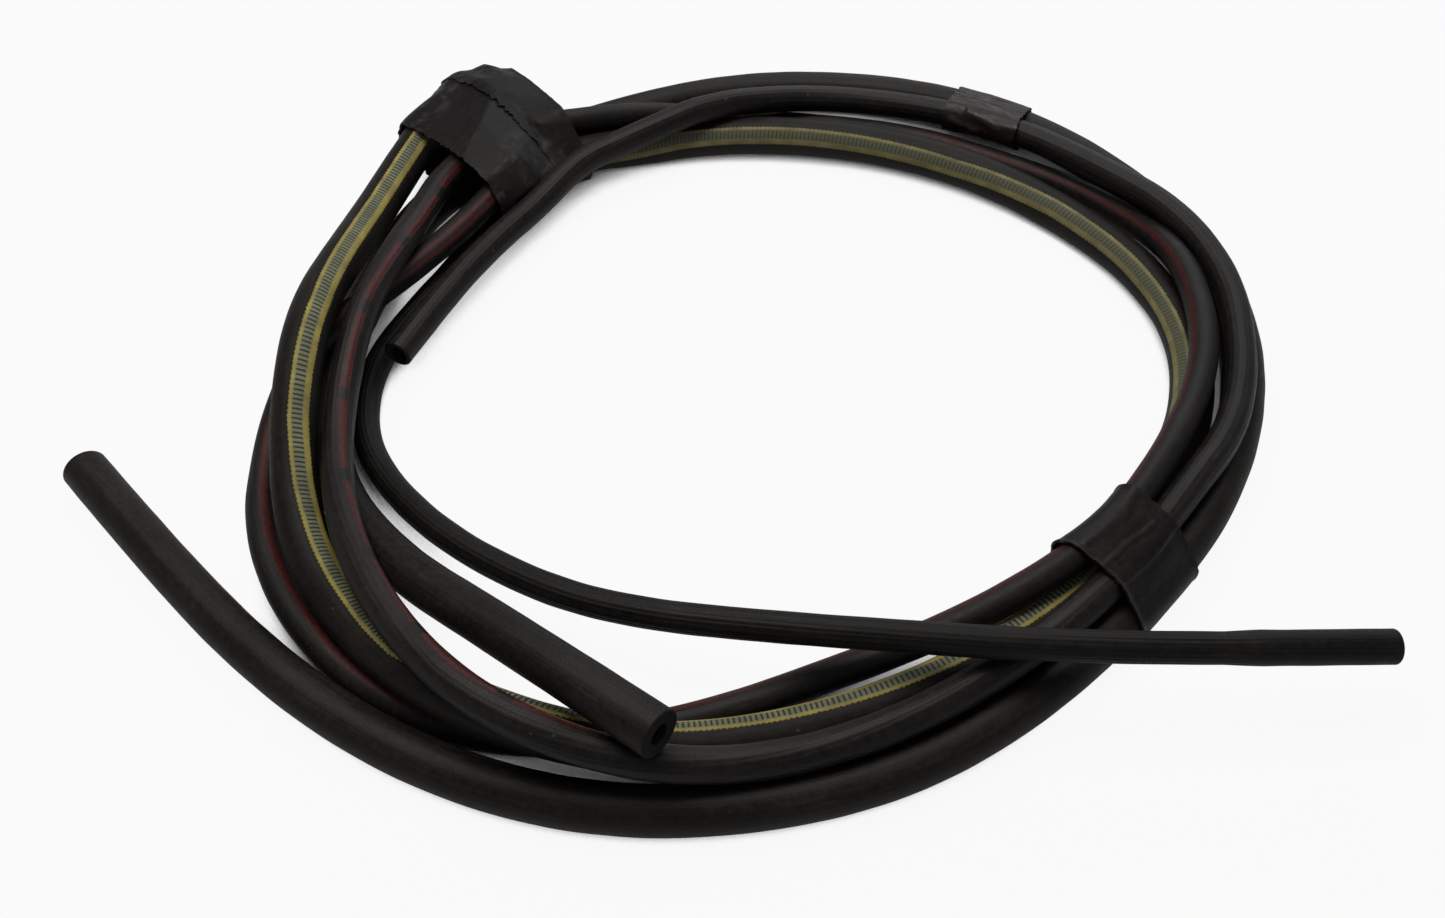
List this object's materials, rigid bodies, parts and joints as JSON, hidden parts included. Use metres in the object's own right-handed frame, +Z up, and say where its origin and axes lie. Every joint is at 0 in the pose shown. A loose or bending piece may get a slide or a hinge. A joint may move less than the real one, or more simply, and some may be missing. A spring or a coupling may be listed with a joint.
{
  "type": "soaker hose",
  "caption": "Flat coil of rubber hoses of different sizes with open ends, bound together by wraps of tape.",
  "frame": {"origin": "middle of the coil's outline on the floor it lies on", "axes": "+Z up, +X along the coil's long way with the ribbed hose's open end at +X, +Y from the front wrap's side to the back wrap's side"},
  "size_m": [0.4525, 0.3794, 0.047],
  "materials": {
    "plain_rubber": "smooth matte black rubber",
    "band_rubber": "matte black rubber with a yellow ladder band along it",
    "dash_rubber": "satin black rubber with long dull red dashes",
    "line_rubber": "satin black rubber with thin dull red lines",
    "ribbed_rubber": "black rubber with fine ribs along it",
    "tape": "worn dark rubber tape with creases"
  },
  "bodies": {
    "root": {"plain_hose": "plain_rubber", "plain_hose_left_end": "plain_rubber", "plain_hose_right_end": "plain_rubber", "yellow_band_hose": "band_rubber", "red_dash_hose": "dash_rubber", "red_dash_hose_end": "dash_rubber", "red_line_hose": "line_rubber", "ribbed_hose": "ribbed_rubber", "ribbed_hose_end": "ribbed_rubber", "tape_block_lower_lap": "tape", "tape_block_upper_lap": "tape", "tape_wrap_back": "tape", "tape_wrap_front": "tape"}
  },
  "joints": []
}
